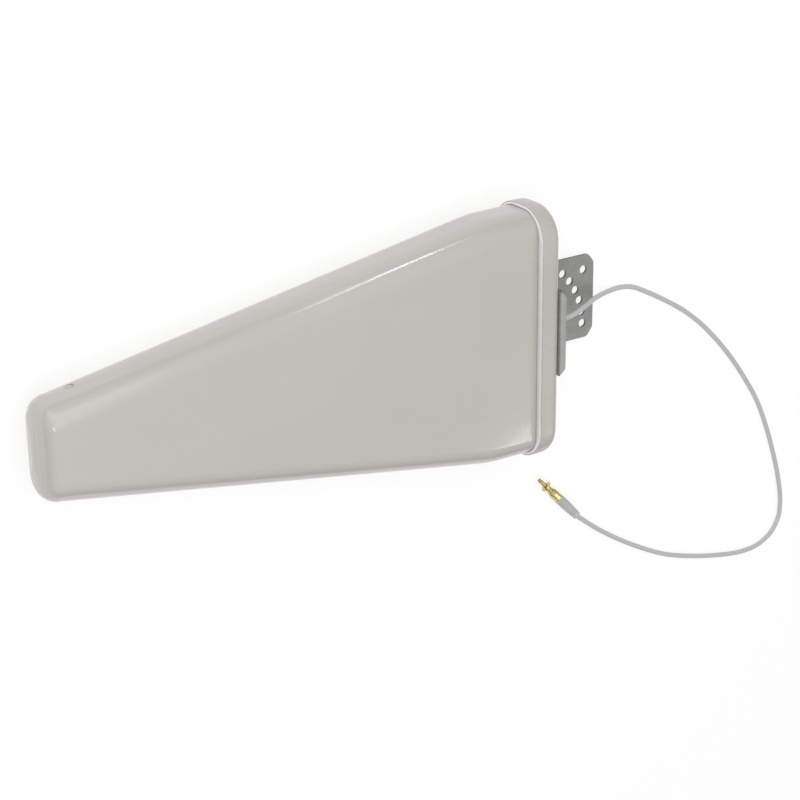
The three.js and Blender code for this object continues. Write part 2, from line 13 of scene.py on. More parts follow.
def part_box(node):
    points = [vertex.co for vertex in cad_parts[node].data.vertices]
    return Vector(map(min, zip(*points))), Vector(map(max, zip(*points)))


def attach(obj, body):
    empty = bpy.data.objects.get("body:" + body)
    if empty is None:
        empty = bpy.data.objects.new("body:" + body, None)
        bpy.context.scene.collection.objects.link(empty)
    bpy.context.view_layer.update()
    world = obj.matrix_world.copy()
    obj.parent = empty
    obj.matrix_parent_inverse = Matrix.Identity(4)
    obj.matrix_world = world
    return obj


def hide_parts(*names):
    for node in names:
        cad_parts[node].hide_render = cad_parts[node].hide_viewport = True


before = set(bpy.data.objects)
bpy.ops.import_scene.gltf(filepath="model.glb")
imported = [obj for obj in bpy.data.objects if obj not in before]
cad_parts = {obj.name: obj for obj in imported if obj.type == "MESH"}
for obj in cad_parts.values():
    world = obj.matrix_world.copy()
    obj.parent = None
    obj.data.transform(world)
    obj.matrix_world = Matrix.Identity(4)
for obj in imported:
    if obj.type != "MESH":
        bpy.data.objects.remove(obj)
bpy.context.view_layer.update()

# ------------------------ dimensions, in millimetres
MM = 0.001
GAP = 0.3
CAP_LOW, CAP_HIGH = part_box("rear_cap")
ANTENNA = Matrix.Translation((CAP_HIGH.x, 0, (CAP_LOW.z + CAP_HIGH.z) / 2)) @ Matrix.Scale(MM, 4)
ROW = Matrix.Scale(MM, 4)

LENGTH = 440
CAP = (210, 64, 27)                    # width, thickness and corner radius of the section
CAP_DEPTH, CAP_ROUNDING, CAP_WALL = 18.2, 7.6, 4.5
RADOME_REAR = (203.3, 50.3, 18)
RADOME_NOSE = (80, 40.5, 20.2)
RADOME_REAR_X, KINK_X, WALL = -5, -56.6, 2.5
KINK_SOFTNESS = 7
NOSE_ROUNDING, NOSE_CROWN = 14.2, 1
NOSE_START = -LENGTH + NOSE_CROWN + NOSE_ROUNDING
FACE_CROWN, CROWN_START, CROWN_LENGTH = 0.7, -30, 90    # how far the broad faces bulge, and where
SEAL_DEPTH, SEAL_LIP, SEAL_PROUD, SEAL_FIT = 3, 0.9, 0.8, 0.03
DRAIN_X, DRAIN_RADIUS, DRAIN_DEPTH, DRAIN_RECESS = -408.4, 3.4, 5, 0.3

SHEET, BRACKET_WIDTH, BRACKET_HEIGHT, BRACKET_Y = 2, 63, 72, 1.8
REACH, LIP, BEND = 81, 5.4, 2.2
FLANGE_CHAMFER, LIP_CHAMFER = (6, 7.4), (5.4, 6)
TILT_X, TILT_Y, TILT_RADIUS, TILT_STEP, TILT_HOLES, TILT_HOLE = 8.3, -21.5, 62, 9.8, 6, 3.5
SCREW_DY, SCREW_DZ, SCREW_CLEARANCE = 24, 14, 2.7
GROMMET, GROMMET_FLANGE = 4.6, 6.6     # radii where the cable leaves the cap

BOOM_SIDE, BOOM_WALL, BOOM_OFFSET, BOOM_REAR, BOOM_FRONT = 10, 1.2, 7.5, -32.6, -424
ROD_RADIUS, ROD_COUNT, ROD_FIRST_X, ROD_FIRST, ROD_SCALE, ROD_SLOPE = 2.5, 11, -54, 96, 0.87, 0.2
SPACER_X = (-143, -277)
SUPPORT_X, SUPPORT_THICK = -386.5, 3
FEED_SCREW_X, FEED_HOLE = BOOM_FRONT + 4, 1.6

CABLE_RADIUS = 2.1
CABLE_EXIT = 26                        # the strain relief's tip
PLUG_TIP = Vector((205.4, -151.6, 4.6))    # in the row frame, with the plug's other end
PLUG_END = Vector((246.9, -195.9, 4.6))
PLUG_LENGTH = (PLUG_END - PLUG_TIP).length
PLUG = (Matrix.Translation(PLUG_TIP * MM)
        @ Vector((1, 0, 0)).rotation_difference(PLUG_END - PLUG_TIP).to_matrix().to_4x4()
        @ Matrix.Scale(MM, 4))

# The cable's route in the row frame: out of the strain relief, down over the bracket's long flange
# and round a wide loop on the surface to the plug.
ROUTE = [
    (202.5, 0, 32), (205.8, 0, 32), (212, 0.2, 31.9), (221, 1.6, 30.6), (233, 3.2, 26.3),
    (248, 3.2, 17.6), (263, 1.8, 8.6), (275, 1.2, 3.7), (286, 1.6, 2.25), (295, 1, 2.2),
    (304, -1.3, 2.2), (321, -9.7, 2.2), (340, -20.6, 2.2), (358, -32, 2.2), (377, -46.8, 2.2),
    (396, -65, 2.2), (416, -87.6, 2.2), (436, -114.5, 2.2), (451, -138, 2.2), (464, -166, 2.2),
    (474, -193, 2.2), (482.5, -221, 2.2), (487, -245, 2.2), (485.5, -263, 2.2), (476.5, -276.5, 2.2),
    (461, -284, 2.2), (440, -285.2, 2.2), (408, -279.8, 2.2), (378, -272, 2.2), (350, -262.3, 2.2),
    (322, -248.2, 2.2), (294, -231.4, 2.2), (272, -216.2, 2.4), (257, -204.4, 3.5),
    (247.2, -196.2, 4.6), (244.6, -193.5, 4.6),
]


# ------------------------ camera
def make_camera():
    aim = Vector((0.03138, -0.03805, 0.032))
    distance, azimuth, elevation, roll = 1.6917, math.radians(233.263), math.radians(50.789), 119.073
    back = Vector((
        math.sin(azimuth) * math.cos(elevation),
        -math.cos(azimuth) * math.cos(elevation),
        math.sin(elevation),
    ))
    data = bpy.data.cameras.new("camera")
    data.sensor_width = 36
    data.lens = 98.844
    data.shift_x, data.shift_y = 0.02209, 0.01338
    camera = bpy.data.objects.new("camera", data)
    level = (-back).to_track_quat("-Z", "Y").to_matrix().to_4x4()
    camera.matrix_world = (
        Matrix.Translation(aim + back * distance) @ level @ Matrix.Rotation(math.radians(roll), 4, "Z")
    )
    bpy.context.scene.collection.objects.link(camera)
    bpy.context.scene.camera = camera


make_camera()


# ------------------------ shapes
def mesh_of(points, faces):
    mesh = bpy.data.meshes.new("shape")
    mesh.from_pydata([tuple(p) for p in points], [], faces)
    mesh.validate()
    return outward(mesh)


def outward(mesh):
    """The same mesh with every face of a closed shape pointing out."""
    work = bmesh.new()
    work.from_mesh(mesh)
    bmesh.ops.recalc_face_normals(work, faces=work.faces)
    work.to_mesh(mesh)
    work.free()
    return mesh


def loft(rings, closed=False):
    """A skin over rings of equal count. Open ends are filled; a one-point ring is a tip."""
    points, starts = [], []
    for ring in rings:
        starts.append(len(points))
        points += ring
    faces = []
    pairs = list(zip(range(len(rings)), range(1, len(rings))))
    if closed:
        pairs.append((len(rings) - 1, 0))
    for a, b in pairs:
        count = max(len(rings[a]), len(rings[b]))
        for i in range(count):
            j = (i + 1) % count
            a0, a1 = (starts[a] + (k if len(rings[a]) > 1 else 0) for k in (i, j))
            b0, b1 = (starts[b] + (k if len(rings[b]) > 1 else 0) for k in (i, j))
            faces.append(list(dict.fromkeys((a0, b0, b1, a1))))
    for end in () if closed else (0, -1):
        if len(rings[end]) > 1:
            faces.append([starts[end] + i for i in range(len(rings[end]))])
    return mesh_of(points, faces)


def outline(section, inset=0.0, crown=0.0, arc=20, flat=10, side=2):
    """A rounded rectangle in the YZ plane. crown bulges its broad faces."""
    width, thick, corner = section
    half_y, half_z = width / 2 - inset, thick / 2 - inset
    radius = max(0.4, min(corner - inset, half_y - 0.01, half_z - 0.01))
    points = []
    for quarter, (sign_y, sign_z) in enumerate(((1, 1), (-1, 1), (-1, -1), (1, -1))):
        centre = (sign_y * (half_y - radius), sign_z * (half_z - radius))
        for i in range(arc + 1):
            angle = (quarter + i / arc) * math.pi / 2
            points.append((centre[0] + radius * math.cos(angle), centre[1] + radius * math.sin(angle)))
        steps = flat if quarter % 2 == 0 else side
        goal = (
            (-sign_y * (half_y - radius), sign_z * half_z) if quarter % 2 == 0
            else (sign_y * half_y, -sign_z * (half_z - radius))
        )
        last = points[-1]
        for i in range(1, steps):
            points.append(tuple(a + (b - a) * i / steps for a, b in zip(last, goal)))
    bulge = [crown * (1 - (y / half_y) ** 2) ** 2 * (z / half_z) for y, z in points]
    return [(y, z + more) for (y, z), more in zip(points, bulge)]


def at_x(x, points):
    return [(x, y, z) for y, z in points]


def fillet(profile, radius, steps=3):
    """The profile, a list of 2D points, with its inner corners rounded."""
    points = [Vector(p) for p in profile]
    rounded = [points[0]]
    for before, corner, after in zip(points, points[1:], points[2:]):
        cut = min(radius, (before - corner).length * 0.45, (after - corner).length * 0.45)
        start = corner + (before - corner).normalized() * cut
        end = corner + (after - corner).normalized() * cut
        for i in range(steps + 1):
            t = i / steps
            rounded.append(start * (1 - t) ** 2 + corner * 2 * t * (1 - t) + end * t ** 2)
    return [tuple(p) for p in rounded + [points[-1]]]


def turned(profile, segments=48, shape=None):
    """A piece turned about the X axis from (x, radius) pairs. shape(x, angle, radius) changes radii."""
    closed = profile[0] == profile[-1]
    rings = []
    for x, radius in profile[:-1] if closed else profile:
        if radius < 1e-6:
            rings.append([(x, 0, 0)])
            continue
        ring = []
        for i in range(segments):
            angle = 2 * math.pi * i / segments
            reach = shape(x, angle, radius) if shape else radius
            ring.append((x, reach * math.cos(angle), reach * math.sin(angle)))
        rings.append(ring)
    return loft(rings, closed)


def thread(start, end, depth, pitch):
    """A shape for turned(): a screw thread cut into the radius between start and end."""
    def cut(x, angle, radius):
        fade = min(1, max(0, min(x - start, end - x) / pitch))
        phase = (x / pitch - angle / (2 * math.pi)) % 1
        return radius - depth * fade * abs(2 * phase - 1)
    return cut


def flats(count, apothem):
    """A shape for turned(): a polygon's flats, apothem from the axis."""
    def cut(x, angle, radius):
        half = math.pi / count
        return min(radius, apothem / math.cos(angle % (2 * half) - half))
    return cut


def evenly(start, end, step):
    """Numbers from start to end, about step apart."""
    count = max(1, round(abs(end - start) / step))
    return [start + (end - start) * i / count for i in range(count + 1)]


def rod(axis, start, end, radius, centre=(0, 0), segments=48):
    """A cylinder along an axis, mostly used to cut with."""
    mesh = turned([(start, 0), (start, radius), (end, radius), (end, 0)], segments)
    a, b = centre
    turn = {
        "x": Matrix.Translation((0, a, b)),
        "y": Matrix.Translation((a, 0, b)) @ Matrix.Rotation(math.pi / 2, 4, "Z"),
        "z": Matrix.Translation((a, b, 0)) @ Matrix.Rotation(-math.pi / 2, 4, "Y"),
    }[axis]
    mesh.transform(turn)
    return mesh


def block(x0, x1, y0, y1, z0, z1):
    rings = [[(x, y0, z0), (x, y1, z0), (x, y1, z1), (x, y0, z1)] for x in (x0, x1)]
    return loft(rings)


def prism(points, x0, x1):
    """A bar along X with a 2D outline in the YZ plane."""
    return loft([at_x(x0, points), at_x(x1, points)])


def soften(edit, degrees, width):
    """Bevel the edges whose two faces meet at more than an angle."""
    sharp = [
        e for e in edit.edges
        if len(e.link_faces) == 2 and e.calc_face_angle(0) > math.radians(degrees)
    ]
    bmesh.ops.bevel(
        edit, geom=sharp, offset=width, segments=2, profile=0.5, affect="EDGES", clamp_overlap=True,
    )


def carved(mesh, *tools, bevel=0.0):
    """mesh less its tools, with its sharp edges broken by a bevel."""
    scene = bpy.context.scene
    work = bpy.data.objects.new("work", mesh)
    helpers = [work]
    for tool in tools:
        helper = bpy.data.objects.new("tool", tool)
        helpers.append(helper)
        cut = work.modifiers.new("cut", "BOOLEAN")
        cut.object = helper
        cut.operation = "DIFFERENCE"
        cut.solver = "EXACT"
    for helper in helpers:
        scene.collection.objects.link(helper)
    evaluated = work.evaluated_get(bpy.context.evaluated_depsgraph_get())
    result = bpy.data.meshes.new_from_object(evaluated)
    for helper in helpers:
        data = helper.data
        bpy.data.objects.remove(helper)
        bpy.data.meshes.remove(data)
    edit = bmesh.new()
    edit.from_mesh(result)
    bmesh.ops.remove_doubles(edit, verts=edit.verts, dist=1e-3)
    if bevel:
        bmesh.ops.dissolve_limit(
            edit, angle_limit=math.radians(0.3), verts=edit.verts, edges=edit.edges,
        )
        soften(edit, 32, bevel)
    edit.to_mesh(result)
    edit.free()
    return result


def joined(*meshes):
    """Several shapes in one mesh, for pieces made of parts that touch."""
    edit = bmesh.new()
    for mesh in meshes:
        edit.from_mesh(mesh)
        bpy.data.meshes.remove(mesh)
    result = bpy.data.meshes.new("shape")
    edit.to_mesh(result)
    edit.free()
    return result


def spline(route, step):
    """Points about step apart on a centripetal Catmull-Rom curve through the route."""
    points = [Vector(p) for p in route]
    points = [points[0] * 2 - points[1], *points, points[-1] * 2 - points[-2]]
    line = [points[1]]
    for p0, p1, p2, p3 in zip(points, points[1:], points[2:], points[3:]):
        t0 = 0.0
        t1 = t0 + (p1 - p0).length ** 0.5
        t2 = t1 + (p2 - p1).length ** 0.5
        t3 = t2 + (p3 - p2).length ** 0.5
        count = max(1, round((p2 - p1).length / step))
        for i in range(1, count + 1):
            t = t1 + (t2 - t1) * i / count
            a1 = p0.lerp(p1, (t - t0) / (t1 - t0))
            a2 = p1.lerp(p2, (t - t1) / (t2 - t1))
            a3 = p2.lerp(p3, (t - t2) / (t3 - t2))
            b1 = a1.lerp(a2, (t - t0) / (t2 - t0))
            b2 = a2.lerp(a3, (t - t1) / (t3 - t1))
            line.append(b1.lerp(b2, (t - t1) / (t2 - t1)))
    return line


def swept(line, radius, sides=20):
    """A round tube along a line, with a UV map that runs along it (in tube widths) and round it."""
    rings = []
    side = Vector((0, 0, 1)).cross(line[1] - line[0]).normalized()
    for i, point in enumerate(line):
        ahead = (line[min(i + 1, len(line) - 1)] - line[max(i - 1, 0)]).normalized()
        side = (side - ahead * side.dot(ahead)).normalized()
        up = ahead.cross(side)
        rings.append([
            tuple(point + (side * math.cos(a) + up * math.sin(a)) * radius)
            for a in (2 * math.pi * k / sides for k in range(sides))
        ])
    mesh = loft(rings)
    uv = mesh.uv_layers.new(name="length_and_turn")
    lengths = [0.0]
    for a, b in zip(line, line[1:]):
        lengths.append(lengths[-1] + (b - a).length)
    for face in mesh.polygons:
        turns = [mesh.loops[k].vertex_index % sides for k in face.loop_indices]
        wraps = max(turns) - min(turns) > sides / 2
        for k in face.loop_indices:
            ring, turn = divmod(mesh.loops[k].vertex_index, sides)
            if wraps and turn < sides / 2:
                turn += sides
            uv.data[k].uv = (lengths[ring] / (2 * radius), turn / sides)
    return mesh


def add_piece(name, mesh, place, slot, replaced, body="antenna", sharp=40, even=False):
    """One visible piece: its mesh placed, finished, riding on its body and standing for a CAD node."""
    mesh.transform(place)
    mesh.name = name
    mesh.polygons.foreach_set("use_smooth", [True] * len(mesh.polygons))
    mesh.set_sharp_from_angle(angle=math.radians(sharp))
    for finish in FINISHES[slot]:
        mesh.materials.append(finish)
    piece = bpy.data.objects.new(name, mesh)
    bpy.context.scene.collection.objects.link(piece)
    if even:
        weighted = piece.modifiers.new("even_shading", "WEIGHTED_NORMAL")
        weighted.keep_sharp = True
    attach(piece, body)
    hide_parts(replaced)
    return piece


def facing_y(x, z=0, side=1):
    """A place on the antenna whose X axis runs along Y, or against it with side -1."""
    return ANTENNA @ Matrix.Translation((x, 0, z)) @ Matrix.Rotation(side * math.pi / 2, 4, "Z")


# ------------------------ finishes
NOISE_LOW, NOISE_HIGH = 0.3, 0.7       # most of a noise texture lies between these


class Finish:
    """A material whose colour, roughness and relief come from procedural textures."""

    def __init__(self, name, **sockets):
        self.material = bpy.data.materials.new(name)
        self.material.use_nodes = True
        self.nodes = self.material.node_tree.nodes
        self.link = self.material.node_tree.links.new
        self.shader = self.nodes["Principled BSDF"]
        for socket, value in sockets.items():
            self.shader.inputs[socket.replace("_", " ")].default_value = value
        self.place = self.nodes.new("ShaderNodeTexCoord").outputs["Object"]

    def noise(self, size, stretch=(1, 1, 1), detail=2.0, rough=0.5):
        """Soft noise with features about size millimetres across, drawn out by stretch."""
        mapping = self.nodes.new("ShaderNodeMapping")
        mapping.inputs["Scale"].default_value = [1 / (size * MM * s) for s in stretch]
        self.link(self.place, mapping.inputs["Vector"])
        texture = self.nodes.new("ShaderNodeTexNoise")
        texture.inputs["Scale"].default_value = 1
        texture.inputs["Detail"].default_value = detail
        texture.inputs["Roughness"].default_value = rough
        self.link(mapping.outputs["Vector"], texture.inputs["Vector"])
        return texture.outputs["Fac"]

    def scaled(self, mask, to_low=0.0, to_high=1.0, low=NOISE_LOW, high=NOISE_HIGH):
        """The mask's range from low to high, spread from to_low to to_high."""
        spread = self.nodes.new("ShaderNodeMapRange")
        limits = {"From Min": low, "From Max": high, "To Min": to_low, "To Max": to_high}
        for socket, value in limits.items():
            spread.inputs[socket].default_value = value
        self.link(mask, spread.inputs["Value"])
        return spread.outputs["Result"]

    def math(self, a, b, operation="ADD"):
        """Two masks put together by a sum or any other of Blender's operations."""
        node = self.nodes.new("ShaderNodeMath")
        node.operation = operation
        self.link(a, node.inputs[0])
        self.link(b, node.inputs[1])
        return node.outputs["Value"]

    def blend(self, mask, dark, light):
        """A colour between dark and light, each a colour or another blend."""
        mix = self.nodes.new("ShaderNodeMix")
        mix.data_type = "RGBA"
        for socket, value in zip((mix.inputs[6], mix.inputs[7]), (dark, light)):
            if isinstance(value, tuple):
                socket.default_value = (*value, 1)
            else:
                self.link(value, socket)
        self.link(mask, mix.inputs[0])
        return mix.outputs[2]

    def colour(self, value):
        self.link(value, self.shader.inputs["Base Color"])

    def roughness(self, value):
        self.link(value, self.shader.inputs["Roughness"])

    def relief(self, *layers):
        """Bumps, each a mask and its height in millimetres."""
        before = None
        for mask, height in layers:
            bump = self.nodes.new("ShaderNodeBump")
            bump.inputs["Strength"].default_value = 1
            bump.inputs["Distance"].default_value = height * MM
            self.link(mask, bump.inputs["Height"])
            if before:
                self.link(before, bump.inputs["Normal"])
            before = bump.outputs["Normal"]
        self.link(before, self.shader.inputs["Normal"])


def shade(colour, factor):
    return tuple(channel * factor for channel in colour)


def moulded_plastic(name, colour, gloss, coat):
    """Glossy moulded plastic: faint tone drift, orange peel, flow lines and hairline scuffs."""
    finish = Finish(name, IOR=1.5, Coat_Weight=coat, Coat_Roughness=0.05)
    drift = finish.noise(70, (2.2, 1, 1), 2)
    fleck = finish.scaled(finish.noise(0.9, detail=1), low=0.66, high=0.78)
    tone = finish.blend(finish.scaled(drift), shade(colour, 0.975), shade(colour, 1.02))
    finish.colour(finish.blend(fleck, tone, shade(colour, 0.9)))
    scuff = finish.scaled(finish.noise(0.45, (28, 1, 1), 2), low=0.66, high=0.76)
    finish.roughness(finish.math(
        finish.scaled(finish.noise(24, (2, 1, 1)), gloss - 0.02, gloss + 0.03, 0.25, 0.75),
        finish.scaled(scuff, 0, 0.03, 0, 1),
    ))
    finish.relief(
        (finish.noise(3.2, detail=1), 0.006),
        (finish.noise(14, (6, 1, 1), 1), 0.02),
    )
    return finish.material


def sealant():
    finish = Finish("sealant", IOR=1.45)
    drift = finish.noise(11, detail=3)
    finish.colour(finish.blend(finish.scaled(drift), (0.88, 0.885, 0.89), (0.94, 0.945, 0.95)))
    finish.roughness(finish.scaled(finish.noise(4), 0.35, 0.5))
    finish.relief((finish.noise(6, detail=2), 0.08), (finish.noise(0.8, detail=1), 0.01))
    return finish.material


def galvanised(name, colour, low, high, metal):
    """Rolled galvanised steel: fine grain and dull blotches, with painted light: near the top it is made
    patchily lighter, as if lit, while lower parts stay darker.
    """
    finish = Finish(name, Metallic=metal, IOR=1.5)
    grain = finish.noise(0.9, (1.6, 1, 1), 3, 0.6)
    blotch = finish.noise(9, detail=3)
    tone = finish.blend(finish.scaled(grain), shade(colour, 0.8), shade(colour, 1.18))
    worn = finish.blend(finish.scaled(blotch, low=0.35, high=0.75), tone, shade(colour, 0.88))
    # Painted light: the colour is lifted to 1.5 times its own near the top (Z 0.05 to 0.062), as if that
    # part caught the light, patchy with the blotches.
    rise = finish.nodes.new("ShaderNodeSeparateXYZ")
    finish.link(finish.place, rise.inputs["Vector"])
    top = finish.scaled(rise.outputs["Z"], low=0.05, high=0.062)
    painted_lip_light = finish.math(top, blotch, operation="MULTIPLY")
    finish.colour(finish.blend(painted_lip_light, worn, shade(colour, 1.5)))
    finish.roughness(finish.math(
        finish.scaled(blotch, low, high),
        finish.scaled(grain, -0.05, 0.05),
    ))
    finish.relief((grain, 0.012), (finish.noise(5, detail=2), 0.02))
    return finish.material


def plated(name, colour, low, high):
    """Plated turned metal: fine tool marks and handling marks."""
    finish = Finish(name, Metallic=1.0)
    marks = finish.noise(0.6, detail=2)
    drift = finish.noise(3.5, detail=2)
    finish.colour(finish.blend(finish.scaled(drift), shade(colour, 0.9), shade(colour, 1.04)))
    finish.roughness(finish.scaled(finish.math(marks, drift), low, high, 0.6, 1.4))
    finish.relief((marks, 0.004))
    return finish.material


def brushed_aluminium():
    finish = Finish("brushed_aluminium", Metallic=1.0)
    lines = finish.noise(0.35, (60, 1, 1), 3, 0.6)
    drift = finish.noise(20, (3, 1, 1))
    finish.colour(finish.blend(finish.scaled(drift), (0.68, 0.69, 0.70), (0.78, 0.79, 0.8)))
    finish.roughness(finish.scaled(lines, 0.28, 0.46))
    finish.relief((lines, 0.006))
    return finish.material


def soft_rubber(name, colour):
    """Matt moulded or extruded rubber with a fine grain and dusty patches."""
    finish = Finish(name, IOR=1.48, Sheen_Weight=0.08)
    dust = finish.noise(12, detail=3)
    finish.colour(finish.blend(finish.scaled(dust), shade(colour, 0.94), shade(colour, 1.04)))
    finish.roughness(finish.scaled(dust, 0.42, 0.6))
    finish.relief((finish.noise(0.5, detail=1), 0.01))
    return finish.material


def cable_jacket(colour):
    """A thin, smooth PVC jacket with only a trace of the braid under it."""
    finish = Finish("cable_jacket", IOR=1.5)
    finish.place = finish.nodes.new("ShaderNodeUVMap").outputs["UV"]
    finish.place.node.uv_map = "length_and_turn"
    waves = []
    for lean in (1, -1):
        mapping = finish.nodes.new("ShaderNodeMapping")
        mapping.inputs["Scale"].default_value = (2.6, 4 * lean, 1)
        finish.link(finish.place, mapping.inputs["Vector"])
        wave = finish.nodes.new("ShaderNodeTexWave")
        wave.wave_type = "BANDS"
        wave.bands_direction = "DIAGONAL"
        wave.inputs["Scale"].default_value = 1 / math.pi
        finish.link(mapping.outputs["Vector"], wave.inputs["Vector"])
        waves.append(wave.outputs["Fac"])
    braid = finish.math(*waves, operation="MAXIMUM")
    finish.colour(finish.blend(braid, shade(colour, 0.98), shade(colour, 1.04)))
    finish.roughness(finish.scaled(braid, 0.46, 0.4, 0, 1))
    finish.relief((braid, 0.015))
    return finish.material


def nylon(name, colour, roughness):
    finish = Finish(name, IOR=1.53, Subsurface_Weight=0.08, Subsurface_Scale=0.002)
    drift = finish.noise(15, detail=2)
    finish.colour(finish.blend(finish.scaled(drift), shade(colour, 0.96), shade(colour, 1.02)))
    finish.roughness(finish.scaled(drift, roughness - 0.06, roughness + 0.06))
    finish.relief((finish.noise(0.7, detail=1), 0.008))
    return finish.material


# Each material slot's finish. The bracket's second one is for its sheared edges.
FINISHES = {
    "radome_plastic": [moulded_plastic("radome_plastic", (0.552, 0.524, 0.497), 0.14, 0.26)],
    "cap_plastic": [moulded_plastic("cap_plastic", (0.545, 0.515, 0.48), 0.26, 0.06)],
    "sealant": [sealant()],
    "bracket_steel": [
        galvanised("bracket_steel", (0.35, 0.35, 0.335), 0.4, 0.55, 0.35),
        galvanised("sheared_edge", (0.13, 0.13, 0.13), 0.5, 0.65, 0.3),
    ],
    "zinc_fasteners": [plated("zinc_plating", (0.62, 0.62, 0.6), 0.22, 0.4)],
    "gilt_metal": [plated("gilt_plating", (0.7, 0.58, 0.255), 0.13, 0.26)],
    "aluminium": [brushed_aluminium()],
    "soft_grey_sleeve": [soft_rubber("sleeve_rubber", (0.59, 0.59, 0.6))],
    "cable_jacket": [cable_jacket((0.56, 0.565, 0.56))],
    "nylon": [nylon("natural_nylon", (0.74, 0.72, 0.66), 0.45)],
    "white_insulator": [nylon("white_ptfe", (0.84, 0.83, 0.8), 0.35)],
}


# ------------------------ cable and plug
def make_cable():
    line = spline(ROUTE, 2.2)
    tube = swept(line, CABLE_RADIUS)
    piece = add_piece("coaxial_cable", tube, ROW, "cable_jacket", "coax_cable")
    return piece, [point * MM for point in line]


def make_sleeve():
    """The ribbed boot behind the plug. Its end is open for the cable."""
    start, radius, tip = 29.4, 4.1, 3.75
    end = PLUG_LENGTH - GAP
    ribs, plain, swell = 9, 7, 0.4
    span = (end - start - plain) / ribs
    profile = [(start, 0), (start, radius - 0.35), (start + 0.35, radius)]
    for i in range(ribs):
        share = (i + 0.5) / ribs
        crest = radius + (tip - radius) * share + swell * math.sin(math.pi * share)
        base = start + 0.8 + i * span
        profile += [(base, crest), (base + span * 0.5, crest), (base + span * 0.58, crest - 1.1)]
        profile += [(base + span * 0.92, crest - 1.1)]
    profile += [(end - plain + 1, tip), (end - 1.6, tip), (end, tip - 1.1), (end, CABLE_RADIUS + 0.05)]
    profile += [(end - 3.5, CABLE_RADIUS + 0.02), (end - 3.5, 0)]
    return add_piece(
        "plug_boot", turned(fillet(profile, 0.25, 2), 48), PLUG, "soft_grey_sleeve",
        "cable_sleeve", sharp=50,
    )


def make_connector_body():
    """A flared body that ends in a ring with six flats, and the spigot that carries the collar."""
    neck_start, neck_end, flare_end, end = 12.7, 17.4, 23, 29.1
    spigot = [(9, 0), (9, 1.3), (9.15, 1.45), (neck_start, 1.45)]
    neck = [(neck_start, 2.6), (neck_start + 0.5, 2.8), (neck_start + 1.1, 2.8), (neck_start + 1.5, 2.3)]
    flare = [(neck_end - 0.4, 2.3), (neck_end, 3.1), (20, 3.75), (flare_end, 4.3)]
    rear = [(24.6, 4.3), (24.9, 4.0), (25.5, 4.0), (25.8, 4.3), (end - 0.5, 4.3), (end, 3.8), (end, 0)]
    mesh = turned(fillet(spigot + neck + flare + rear, 0.18, 2), 72, flats(6, 3.98))
    return add_piece("connector_shell", mesh, PLUG, "gilt_metal", "connector_body", sharp=22)


def make_collar():
    """The two-lug coupling collar, which turns on the spigot."""
    start, end, bore, radius, reach, width = 9.4, 12.4, 1.75, 3.2, 4.45, 2.2
    edge = 0.25
    ring = turned([
        (start, bore), (start, radius - edge), (start + edge, radius), (start + 0.9, radius),
        (start + 1.15, radius - edge), (end - 1.15, radius - edge), (end - 0.9, radius),
        (end - edge, radius), (end, radius - edge), (end, bore), (start, bore),
    ], 48)
    lugs = []
    for side in (1, -1):
        near, far = sorted((side * (radius - 0.6), side * reach))
        lugs.append(carved(
            block(start + 0.3, end - 0.3, near, far, -width / 2, width / 2), bevel=0.25,
        ))
    return add_piece(
        "coupling_ring", joined(ring, *lugs), PLUG, "gilt_metal", "coupling_collar",
        body="coupling_collar", sharp=35,
    )


def make_contact():
    """The slit barrel at the plug's tip, its insulator and its pin."""
    length, radius, bore = 8.7, 1.75, 1.1
    profile = [
        (5.4, 0), (5.4, bore), (0, bore), (0, radius - 0.35), (0.35, radius), (length - 1.2, radius),
        (length - 1, radius - 0.25), (length - 0.6, radius - 0.25), (length - 0.4, radius),
        (length, radius), (length, 0),
    ]
    barrel = carved(
        turned(profile, 48),
        block(-1, 2.6, -2, 2, -0.16, 0.16), block(-1, 2.6, -0.16, 0.16, -2, 2),
    )
    bead = [(5.1, 0), (5.1, 0.8), (1.2, 0.8), (1.2, 0.55), (3.4, 0.55), (3.4, 0)]
    insulator = turned(fillet(bead, 0.08), 32)
    pin = turned(fillet([(0.3, 0), (0.5, 0.22), (3.1, 0.22), (3.1, 0)], 0.06), 24)
    return [
        add_piece("contact_tube", barrel, PLUG, "gilt_metal", "contact_barrel", sharp=35),
        add_piece("contact_bead", insulator, PLUG, "white_insulator", "contact_insulator"),
        add_piece("contact_pin", pin, PLUG, "gilt_metal", "centre_pin"),
    ]


cable, cable_line = make_cable()
plug_pieces = [make_sleeve(), make_connector_body(), make_collar(), *make_contact()]


# ------------------------ radome, drain plug, cap, seal
def radome_section(x):
    """Width, thickness and corner of the radome's section, with its kink eased."""
    ahead = KINK_X - x
    eased = (ahead + math.hypot(ahead, KINK_SOFTNESS)) / 2
    share = eased / (KINK_X - NOSE_START)
    return tuple(a + (b - a) * min(share, 1) for a, b in zip(RADOME_REAR, RADOME_NOSE))


